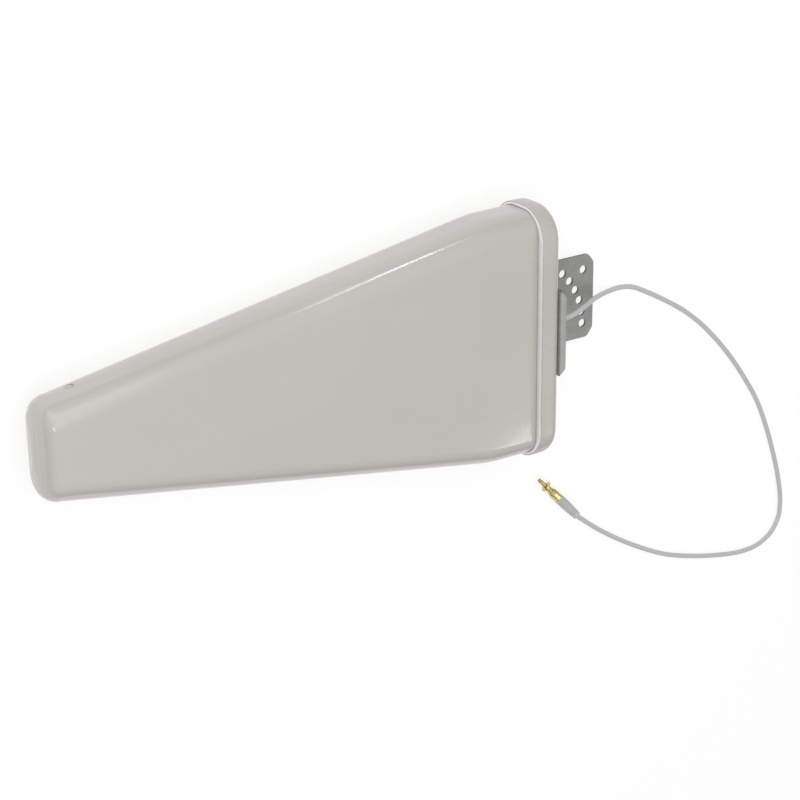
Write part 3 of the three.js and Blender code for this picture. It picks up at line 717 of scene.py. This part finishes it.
def radome_rings(inset, step):
    """The radome's rings from its rear to its nose tip, inset from the outside."""
    bend_start, bend_end = KINK_X + 14, KINK_X - 22
    straight = evenly(RADOME_REAR_X, bend_start, 8)
    bend = evenly(bend_start, bend_end, 3)[1:]
    taper = evenly(bend_end, NOSE_START, step)[1:]
    rings = []
    for x in straight + bend + taper:
        swell = min(1, max(0, (CROWN_START - x) / CROWN_LENGTH))
        crown = FACE_CROWN * swell * swell * (3 - 2 * swell)
        rings.append(at_x(x, outline(radome_section(x), inset, crown)))
    nose = radome_section(NOSE_START)
    radius = NOSE_ROUNDING - inset
    for angle in (math.radians(a) for a in range(8, 91, 8)):
        rounding = inset + radius * (1 - math.cos(angle))
        crown = FACE_CROWN * math.cos(angle)
        rings.append(at_x(NOSE_START - radius * math.sin(angle), outline(nose, rounding, crown)))
    face = outline(nose, inset + radius)
    rings.append(at_x(NOSE_START - radius, face))
    for share in (0.88, 0.72, 0.5, 0.25):
        bulge = NOSE_CROWN * (1 - share * share)
        rings.append(at_x(NOSE_START - radius - bulge, [(y * share, z * share) for y, z in face]))
    rings.append([(NOSE_START - radius - NOSE_CROWN, 0, 0)])
    return rings


def make_radome():
    shell = loft(list(reversed(radome_rings(WALL, 40))) + radome_rings(0, 8))
    side = radome_section(DRAIN_X)[0] / 2
    hole = rod("y", side - 10, side + 5, DRAIN_RADIUS + GAP / 2, (DRAIN_X, 0), 40)
    add_piece("radome", carved(shell, hole), ANTENNA, "radome_plastic", "radome_shell", sharp=45)
    top = side - DRAIN_RECESS
    profile = fillet([
        (top - DRAIN_DEPTH + DRAIN_RECESS, 0), (top - DRAIN_DEPTH + DRAIN_RECESS, DRAIN_RADIUS - 0.9),
        (top - 2.4, DRAIN_RADIUS - 0.9), (top - 2.2, DRAIN_RADIUS), (top, DRAIN_RADIUS),
        (top, DRAIN_RADIUS - 0.7), (top - 0.35, DRAIN_RADIUS - 0.9), (top - 0.35, DRAIN_RADIUS - 1.4),
        (top + 0.1, DRAIN_RADIUS - 1.7), (top + 0.25, 0),
    ], 0.12, 2)
    plug = turned(profile, 40)
    add_piece("drain_button", plug, facing_y(DRAIN_X), "cap_plastic", "drain_plug", sharp=30)


def grown(section, by):
    """A section with every side moved out by the same amount."""
    return (section[0] + 2 * by, section[1] + 2 * by, section[2] + by)


REBATE = grown(CAP, -SEAL_LIP)


def screw_places():
    return [(BRACKET_Y + sy * SCREW_DY, sz * SCREW_DZ) for sy in (1, -1) for sz in (1, -1)]


def make_cap():
    """One wall, drawn from the middle of its back, round its front edge and into its inside."""
    rings = []
    for angle in (math.radians(a) for a in range(90, -1, -9)):
        x = -CAP_ROUNDING * (1 - math.sin(angle))
        rings.append(at_x(x, outline(CAP, CAP_ROUNDING * (1 - math.cos(angle)))))
    edge, inner_edge, front = 0.45, 0.25, -CAP_DEPTH
    for angle in (math.radians(a) for a in range(0, 91, 30)):
        inset = edge * (1 - math.cos(angle))
        rings.append(at_x(front + edge * (1 - math.sin(angle)), outline(CAP, inset)))
    for angle in (math.radians(a) for a in range(90, -1, -45)):
        inset = SEAL_LIP - inner_edge * (1 - math.cos(angle))
        rings.append(at_x(front + inner_edge * (1 - math.sin(angle)), outline(CAP, inset)))
    rings.append(at_x(front + SEAL_DEPTH, outline(REBATE)))
    socket = grown(RADOME_REAR, GAP)
    rings.append(at_x(front + SEAL_DEPTH, outline(socket)))
    rings.append(at_x(-CAP_WALL - 1, outline(socket)))
    rings.append(at_x(-CAP_WALL, outline(socket, 1)))
    holes = [rod("x", -8, 2, GROMMET + GAP)]
    holes += [rod("x", -8, 2, SCREW_CLEARANCE, place, 32) for place in screw_places()]
    add_piece("rear_cover", carved(loft(rings), *holes), ANTENNA, "cap_plastic", "rear_cap", sharp=38)


def make_seal():
    """A bead between cap and radome, with a rolled front face."""
    outer = outline(grown(REBATE, -SEAL_FIT))
    inner = outline(grown(RADOME_REAR, SEAL_FIT))
    back, front = -CAP_DEPTH + SEAL_DEPTH - GAP, -CAP_DEPTH - SEAL_PROUD
    roll, steps = 0.8, 6
    rings = [at_x(back, inner), at_x(back, outer), at_x(front + roll, outer)]
    for i in range(1, steps):
        share = i / steps
        x = front + roll * (1 - math.sin(math.pi * share) ** 0.5)
        rings.append([
            (x, yo + (yi - yo) * share, zo + (zi - zo) * share)
            for (yo, zo), (yi, zi) in zip(outer, inner)
        ])
    rings.append(at_x(front + roll, inner))
    add_piece("sealing_ring", loft(rings, closed=True), ANTENNA, "sealant", "cap_seal", sharp=60)


make_radome()
make_cap()
make_seal()


# ------------------------ bracket and its screws
def sheet_blank(points):
    """Points and faces of a plate of the sheet's thickness with a 2D outline."""
    count = len(points)
    solid = [(u, v, w) for w in (-SHEET / 2, SHEET / 2) for u, v in points]
    faces = [list(range(count)), list(range(count, 2 * count))]
    faces += [[i, (i + 1) % count, count + (i + 1) % count, count + i] for i in range(count)]
    return solid, faces


def make_bracket():
    """Drawn as a flat blank, with u along the sheet and v across it, and then bent into a channel."""
    radius = BEND - SHEET / 2
    turn = radius * math.pi / 2
    lip_end = LIP - GAP - BEND
    base_start = lip_end + turn
    base_end = base_start + BRACKET_WIDTH - 2 * BEND
    flange_start = base_end + turn
    end = flange_start + REACH - GAP - BEND
    half = BRACKET_HEIGHT / 2
    chamfer_u, chamfer_v = FLANGE_CHAMFER
    lip_u, lip_v = LIP_CHAMFER
    middle = (base_start, half)
    upper = fillet([(0, 0), (0, half - lip_v), (lip_u, half), middle], 0.5, 2)[:-1]
    upper += fillet([middle, (end - chamfer_u, half), (end, half - chamfer_v), (end, 0)], 2.2, 5)
    lower = [(u, -v) for u, v in reversed(upper[1:-1])]
    blank = mesh_of(*sheet_blank(upper + lower))
    edit = bmesh.new()
    edit.from_mesh(blank)
    for start in (lip_end, base_end):
        for u in evenly(start, start + turn, turn / 8):
            everything = [*edit.verts, *edit.edges, *edit.faces]
            bmesh.ops.bisect_plane(edit, geom=everything, plane_co=(u, 0, 0), plane_no=(1, 0, 0))
    edit.to_mesh(blank)
    edit.free()
    places = [(TILT_X, TILT_Y), (TILT_X + TILT_RADIUS, 2 * BRACKET_Y - TILT_Y)]
    for i in range(TILT_HOLES):
        angle = math.radians(i * TILT_STEP)
        places.append((TILT_X + TILT_RADIUS * math.cos(angle), TILT_Y + TILT_RADIUS * math.sin(angle)))
    tools = [
        rod("z", -3, 3, TILT_HOLE, (flange_start + x - GAP - BEND, y - BRACKET_Y)) for x, y in places
    ]
    base_u = base_start + BRACKET_WIDTH / 2 - BEND
    tools.append(rod("z", -3, 3, GROMMET + GAP, (base_u, -BRACKET_Y)))
    tools += [
        rod("z", -3, 3, SCREW_CLEARANCE, (base_u - z, y - BRACKET_Y)) for y, z in screw_places()
    ]
    mesh = carved(blank, *tools)
    edit = bmesh.new()
    edit.from_mesh(mesh)
    soften(edit, 60, 0.22)
    edit.normal_update()
    for face in edit.faces:
        face.material_index = 1 if abs(face.normal.z) < 0.3 else 0
    middle_x, middle_z = GAP + BEND, BRACKET_WIDTH / 2 - BEND
    for vertex in edit.verts:
        u, v, w = vertex.co
        if u < lip_end:
            x, z, out = LIP - u, middle_z + radius, (0, 1)
        elif u < base_start:
            angle = math.pi / 2 + (u - lip_end) / radius
            out = (math.cos(angle), math.sin(angle))
            x, z = middle_x + radius * out[0], middle_z + radius * out[1]
        elif u < base_end:
            x, z, out = GAP + SHEET / 2, middle_z - (u - base_start), (-1, 0)
        elif u < flange_start:
            angle = math.pi + (u - base_end) / radius
            out = (math.cos(angle), math.sin(angle))
            x, z = middle_x + radius * out[0], -middle_z + radius * out[1]
        else:
            x, z, out = middle_x + u - flange_start, -middle_z - radius, (0, -1)
        vertex.co = (x + out[0] * w, v + BRACKET_Y, z + out[1] * w)
    edit.to_mesh(mesh)
    edit.free()
    add_piece(
        "bent_bracket", outward(mesh), ANTENNA, "bracket_steel", "mounting_bracket", even=True,
    )


def cross_wing(top, depth, half, width, quarter):
    """One wing of a cross recess, narrowing as it goes in."""
    rings = []
    for x, size in ((top - depth, 0.45), (top + 0.5, 1.0)):
        long, thin = half * size, width * (0.7 + 0.3 * size)
        y, z = (long, thin) if quarter == 0 else (thin, long)
        rings.append([(x, y, z), (x, -y, z), (x, -y, -z), (x, y, -z)])
    return loft(rings)


def make_bracket_screws():
    """Pan-head cross-recess screws on plain washers."""
    shank, head, high, length = 2, 4.2, 2.6, 17
    washer_x = GAP + SHEET + GAP
    head_x = washer_x + 1 + GAP
    for number, (y, z) in enumerate(screw_places(), 1):
        place = ANTENNA @ Matrix.Translation((0, y, z)) @ Matrix.Rotation(0.4 * number, 4, "X")
        washer = turned([
            (washer_x, 2.3), (washer_x, 4.85), (washer_x + 0.15, 5), (washer_x + 0.85, 5),
            (washer_x + 1, 4.85), (washer_x + 1, 2.3), (washer_x, 2.3),
        ])
        replaced = f"bracket_washer_{number}"
        add_piece(f"washer_{number}", washer, place, "zinc_fasteners", replaced, sharp=30)
        tip = head_x - length
        dome = [
            (head_x + high * (0.35 + 0.65 * math.sin(a)), head * (0.62 + 0.38 * math.cos(a)))
            for a in (math.radians(k) for k in range(0, 91, 15))
        ]
        profile = [(tip, 0), (tip, 1.5)]
        profile += [(x, shank) for x in evenly(tip + 0.5, head_x - 2, 0.14)]
        profile += [(head_x, shank), (head_x, head - 0.15), (head_x + 0.15, head)]
        profile += [*dome, (head_x + high, 0)]
        screw = turned(profile, 32, thread(tip + 0.3, head_x - 2, 0.42, 0.7))
        recess = [cross_wing(head_x + high, 1.4, 1.9, 0.5, quarter) for quarter in (0, 1)]
        add_piece(
            f"pan_screw_{number}", carved(screw, *recess), place, "zinc_fasteners",
            f"bracket_screw_{number}", sharp=35,
        )


def make_strain_relief():
    """A tapered grommet with flexing grooves, open at its tip for the cable."""
    flange_x = -CAP_WALL - GAP
    shoulder = GAP + SHEET + GAP
    profile = [
        (flange_x - 3, 0), (flange_x - 3, GROMMET_FLANGE), (flange_x, GROMMET_FLANGE),
        (flange_x, GROMMET), (shoulder, GROMMET),
        (shoulder, 6), (shoulder + 2.4, 6), (shoulder + 3.4, 5.1),
    ]
    start, end, grooves = shoulder + 4.2, CABLE_EXIT - 1.6, 7
    pitch = (end - start) / grooves

    def skin(x):
        return 4.8 + (3.1 - 4.8) * (x - start) / (end - start)

    for i in range(grooves):
        x = start + i * pitch
        profile += [(x, skin(x)), (x + pitch * 0.5, skin(x + pitch * 0.5))]
        profile += [(x + pitch * 0.56, skin(x) - 0.75), (x + pitch * 0.94, skin(x) - 0.85)]
    profile += [
        (end, 3.1), (CABLE_EXIT - 0.35, 3.05), (CABLE_EXIT, 2.7), (CABLE_EXIT, CABLE_RADIUS + 0.05),
        (CABLE_EXIT - 4, CABLE_RADIUS + 0.02), (CABLE_EXIT - 4, 0),
    ]
    add_piece(
        "cable_grommet", turned(fillet(profile, 0.3, 2), 48), ANTENNA, "soft_grey_sleeve",
        "cable_strain_relief", sharp=50,
    )


make_bracket()
make_bracket_screws()
make_strain_relief()


# ------------------------ booms and their fixings
BOOMS = {"upper": 1, "lower": -1}


def square(half, radius, centre):
    """A square with rounded corners in the YZ plane."""
    points = outline((2 * half, 2 * half, radius), arc=4, flat=1, side=1)
    return [(y, z + centre) for y, z in points]


def boom_holes(x0, x1):
    """Blocks that cut a fitting hole for each boom."""
    half = BOOM_SIDE / 2 + GAP
    return [
        block(x0, x1, -half, half, s * BOOM_OFFSET - half, s * BOOM_OFFSET + half)
        for s in BOOMS.values()
    ]


def make_booms():
    half, bore = BOOM_SIDE / 2, BOOM_SIDE / 2 - BOOM_WALL
    for name, sign in BOOMS.items():
        z = sign * BOOM_OFFSET
        outer, inner = square(half, 0.9, z), square(bore, 0.4, z)
        tube = loft([
            at_x(BOOM_FRONT, inner), at_x(BOOM_FRONT, outer),
            at_x(BOOM_REAR, outer), at_x(BOOM_REAR, inner),
        ], closed=True)
        holes = [rod("z", z, z + BOOM_SIDE, FEED_HOLE, (FEED_SCREW_X, 0), 32)] if sign > 0 else []
        add_piece(
            f"{name}_boom_tube", carved(tube, *holes, bevel=0.12), ANTENNA, "aluminium",
            f"{name}_boom", sharp=35, even=True,
        )


def make_mounting_block():
    """The machined block behind the booms: it holds both and takes the bracket's screws."""
    rear, front, relief_x, lock_x = -5, -45, -CAP_WALL - 2 * GAP - 3, -38.5
    tools = boom_holes(front - 1, BOOM_REAR + GAP)
    tools.append(block(BOOM_REAR - 1, rear + 1, -3.2, 3.2, -BOOM_OFFSET - 3.2, 3.2))
    tools.append(rod("x", relief_x, rear + 1, GROMMET_FLANGE + GAP))
    tools += [rod("x", rear - 12, rear + 1, 2 + GAP, place, 32) for place in screw_places()]
    tools += [rod("y", 0, 13, 2 + GAP, (lock_x, s * BOOM_OFFSET), 32) for s in BOOMS.values()]
    side, stem = (33, 19.5), (12, 17)
    plan = [(front, stem), (rear - 5, stem), (rear - 5, side), (rear, side)]
    body = loft([[(x, -y, -z), (x, y, -z), (x, y, z), (x, -y, z)] for x, (y, z) in plan])
    add_piece(
        "boom_clamp_block", carved(body, *tools, bevel=0.4), ANTENNA, "aluminium",
        "mounting_block", sharp=35, even=True,
    )
    for name, sign in BOOMS.items():
        start, end = BOOM_SIDE / 2 + GAP, 12 - GAP
        profile = [(start, 0), (start, 1.4)] + [(x, 2) for x in evenly(start + 0.4, end - 0.3, 0.14)]
        profile += [(end, 1.7), (end, 1.0), (end - 1.6, 1.0), (end - 1.9, 0)]
        grub = turned(profile, 36, thread(start, end, 0.35, 0.7))
        add_piece(
            f"grub_screw_{name}", grub, facing_y(lock_x, sign * BOOM_OFFSET), "zinc_fasteners",
            f"boom_lock_screw_{name}", sharp=35,
        )


def make_spacers():
    """H-shaped nylon spacers with rounded corners, and the support inside the nose."""
    inside = BOOM_SIDE / 2 + GAP
    outside, web, high, thick = inside + 2, 2.2, 10, 10
    quarter = [(0, web), (inside, web), (inside, high), (outside, high), (outside, 0)]
    right = fillet(quarter, 0.8, 3)
    bottom = [(y, -z) for y, z in reversed(right[:-1])]
    left = [(-y, z) for y, z in reversed(right[1:] + bottom[:-1])]
    for number, x in enumerate(SPACER_X, 1):
        body = prism(right + bottom[:-1] + left, x - thick / 2, x + thick / 2)
        add_piece(
            f"nylon_spacer_{number}", carved(body, bevel=0.35), ANTENNA, "nylon",
            f"boom_spacer_{number}", sharp=35, even=True,
        )
    far = SUPPORT_X - SUPPORT_THICK
    plate = prism(outline(radome_section(far), WALL + GAP), SUPPORT_X, far)
    tools = boom_holes(far - 1, SUPPORT_X + 1)
    tools += [rod("x", far - 1, SUPPORT_X + 1, 9, (s * 23, 0)) for s in (1, -1)]
    add_piece(
        "nose_bulkhead", carved(plate, *tools, bevel=0.4), ANTENNA, "nylon", "nose_support",
        sharp=35, even=True,
    )


def make_dipoles():
    """Each half is a rod with a rounded end, held on the boom by a nut and a washer."""
    start = BOOM_SIDE / 2 + 0.1
    for i in range(ROD_COUNT):
        share = ROD_SCALE ** i
        length = ROD_FIRST * share
        x = ROD_FIRST_X - ROD_FIRST / ROD_SLOPE * (1 - share)
        for name, sign in BOOMS.items():
            side = sign * (-1 if i % 2 else 1)
            disc = [(start, 0), (start, 4.4), (start + 0.8, 4.4), (start + 0.8, 0)]
            washer = turned(fillet(disc, 0.15), 32)
            nut = turned(fillet([
                (start + 0.9, 0), (start + 0.9, 4.35), (start + 1.2, 4.62), (start + 3.8, 4.62),
                (start + 4.1, 4.35), (start + 4.1, 0),
            ], 0.12, 2), 48, flats(6, 4))
            bare = [
                (start + 4.2, 0), (start + 4.2, ROD_RADIUS - 0.3), (start + 4.6, ROD_RADIUS),
                (length - 0.8, ROD_RADIUS),
            ]
            bar = turned(fillet(bare + [(length, 1.9), (length, 0)], 0.4, 4), 32)
            place = facing_y(x, sign * BOOM_OFFSET, side)
            half = f"{i + 1:02}_{name}"
            add_piece(
                f"dipole_rod_{half}", joined(washer, nut, bar), place, "aluminium",
                f"dipole_{half}", sharp=25,
            )


def make_feed():
    """The coax inside the lower boom, and the strap and screw that join it to the upper boom."""
    start, end = -CAP_WALL - 2 * GAP - 3, BOOM_FRONT + 2
    low = -BOOM_OFFSET
    line = spline([
        (start, 0, 0), (start - 3, 0, -0.3), (start - 12, 0, low / 2), (start - 21, 0, low + 0.3),
        (BOOM_REAR - 4, 0, low), (BOOM_REAR - 60, 0, low), ((BOOM_REAR + end) / 2, 0, low),
        (end + 30, 0, low), (end, 0, low),
    ], 4)
    add_piece("boom_coax", swept(line, 1.8, 16), ANTENNA, "cable_jacket", "feed_coax")
    front, top, thick, half = BOOM_FRONT - GAP, BOOM_OFFSET + BOOM_SIDE / 2 + GAP, 0.8, 3
    path = fillet([
        (front - thick, low - 1.6), (front - thick, top + thick), (BOOM_FRONT + 8, top + thick),
    ], 1.6, 5)
    inner = fillet([(front, low - 1.6), (front, top), (BOOM_FRONT + 8, top)], 0.8, 5)
    rings = [[(x, y, z) for x, z in path + inner[::-1]] for y in (-half, half)]
    hole = rod("z", top - 1, top + 2, FEED_HOLE, (FEED_SCREW_X, 0), 32)
    strap = carved(loft(rings), hole, bevel=0.12)
    add_piece("feed_strap", strap, ANTENNA, "gilt_metal", "feed_link", sharp=35, even=True)
    seat = top + thick + GAP
    profile = [(seat - 4, 0), (seat - 4, 1.0)] + [(x, 1.25) for x in evenly(seat - 3.8, seat - 0.4, 0.1)]
    profile += [(seat, 1.25), (seat, 2.5), (seat + 0.3, 2.6)]
    profile += [(seat + 1, 2.45), (seat + 1.5, 1.7), (seat + 1.6, 0)]
    screw = carved(
        turned(profile, 32, thread(seat - 4, seat - 0.4, 0.25, 0.5)),
        block(seat + 1, seat + 3, -4, 4, -0.3, 0.3),
    )
    place = ANTENNA @ Matrix.Translation((FEED_SCREW_X, 0, 0)) @ Matrix.Rotation(-math.pi / 2, 4, "Y")
    add_piece("strap_screw", screw, place, "zinc_fasteners", "feed_screw", sharp=35)


make_booms()
make_mounting_block()
make_spacers()
make_dipoles()
make_feed()


# ------------------------ floor and light
def make_floor():
    """A plain pale floor that glows a little, as a light table does."""
    size = 12
    corners = [(-size, -size, 0), (size, -size, 0), (size, size, 0), (-size, size, 0)]
    mesh = mesh_of(corners, [[0, 1, 2, 3]])
    floor = bpy.data.objects.new("floor", mesh)
    floor.location.z = -0.0003
    finish = Finish("floor_white", Roughness=0.9, Base_Color=(0.35, 0.35, 0.35, 1))
    finish.shader.inputs["Emission Color"].default_value = (1, 1, 1, 1)
    finish.shader.inputs["Emission Strength"].default_value = 0.7
    mesh.materials.append(finish.material)
    bpy.context.scene.collection.objects.link(floor)


def add_light(name, aim, direction, distance, size, power, along=(0, 0, 1), colour=(1, 1, 1)):
    """A soft box seen from aim in a direction. Its longer side, the size's second, runs along."""
    data = bpy.data.lights.new(name, "AREA")
    data.shape = "RECTANGLE"
    data.size, data.size_y = size
    data.energy = power
    data.color = colour
    light = bpy.data.objects.new(name, data)
    back = Vector(direction).normalized()
    up = (Vector(along) - back * back.dot(Vector(along))).normalized()
    turn = Matrix((up.cross(back), up, back)).transposed().to_4x4()
    light.matrix_world = Matrix.Translation(Vector(aim) + back * distance) @ turn
    bpy.context.scene.collection.objects.link(light)


def make_world():
    """Soft light that fades from overhead to the horizon."""
    world = bpy.data.worlds.new("studio")
    world.use_nodes = True
    nodes, link = world.node_tree.nodes, world.node_tree.links.new
    nodes["Background"].inputs["Color"].default_value = (1, 1, 1, 1)
    direction = nodes.new("ShaderNodeTexCoord").outputs["Generated"]
    split = nodes.new("ShaderNodeSeparateXYZ")
    link(direction, split.inputs["Vector"])
    fade = nodes.new("ShaderNodeMapRange")
    fade.interpolation_type = "SMOOTHSTEP"
    for socket, value in {"From Min": 0.1, "From Max": 0.75, "To Min": 0.06, "To Max": 0.8}.items():
        fade.inputs[socket].default_value = value
    link(split.outputs["Z"], fade.inputs["Value"])
    link(fade.outputs["Result"], nodes["Background"].inputs["Strength"])
    bpy.context.scene.world = world
    bpy.context.scene.view_settings.view_transform = "Standard"


make_floor()
make_world()
streak, nose = Vector((0.03, 0.077, 0.052)), Vector((-0.252, 0.03, 0.046))
slant, daylight = (0.253, 0.306, -0.496), (0.86, 0.95, 1)
add_light("key_strip", streak, (0.288, 0.864, 0.42), 1.6, (0.035, 0.5), 0.75, slant, daylight)
add_light("key_lamp", streak, (0.313, 0.883, 0.349), 1.6, (0.06, 0.2), 0.6, slant, daylight)
add_light("nose_lamp", nose, (-0.5, 0.8, 0.3), 1.5, (0.16, 0.16), 0.5)
add_light("side_box", nose, (-0.48, 0.7, 0.53), 0.95, (0.5, 0.7), 0.8, (1, 0, 0))
add_light("low_box", streak, (0.5, 0.84, 0.17), 1.7, (0.4, 1.3), 0.8, (0.86, -0.5, 0))
add_light("nose_strip", nose, (-0.42, -0.15, 0.87), 1.2, (0.025, 0.3), 1.0, (0.245, -0.4, 0.05))
add_light("window", nose, (-0.08, 0.33, 0.94), 0.9, (0.8, 1.0), 2.4, (0, 1, 0))
add_light("plug_lamp", PLUG @ Vector((20, 0, 0)), (0.507, -0.378, 0.775), 0.8, (0.12, 0.12), 0.18)
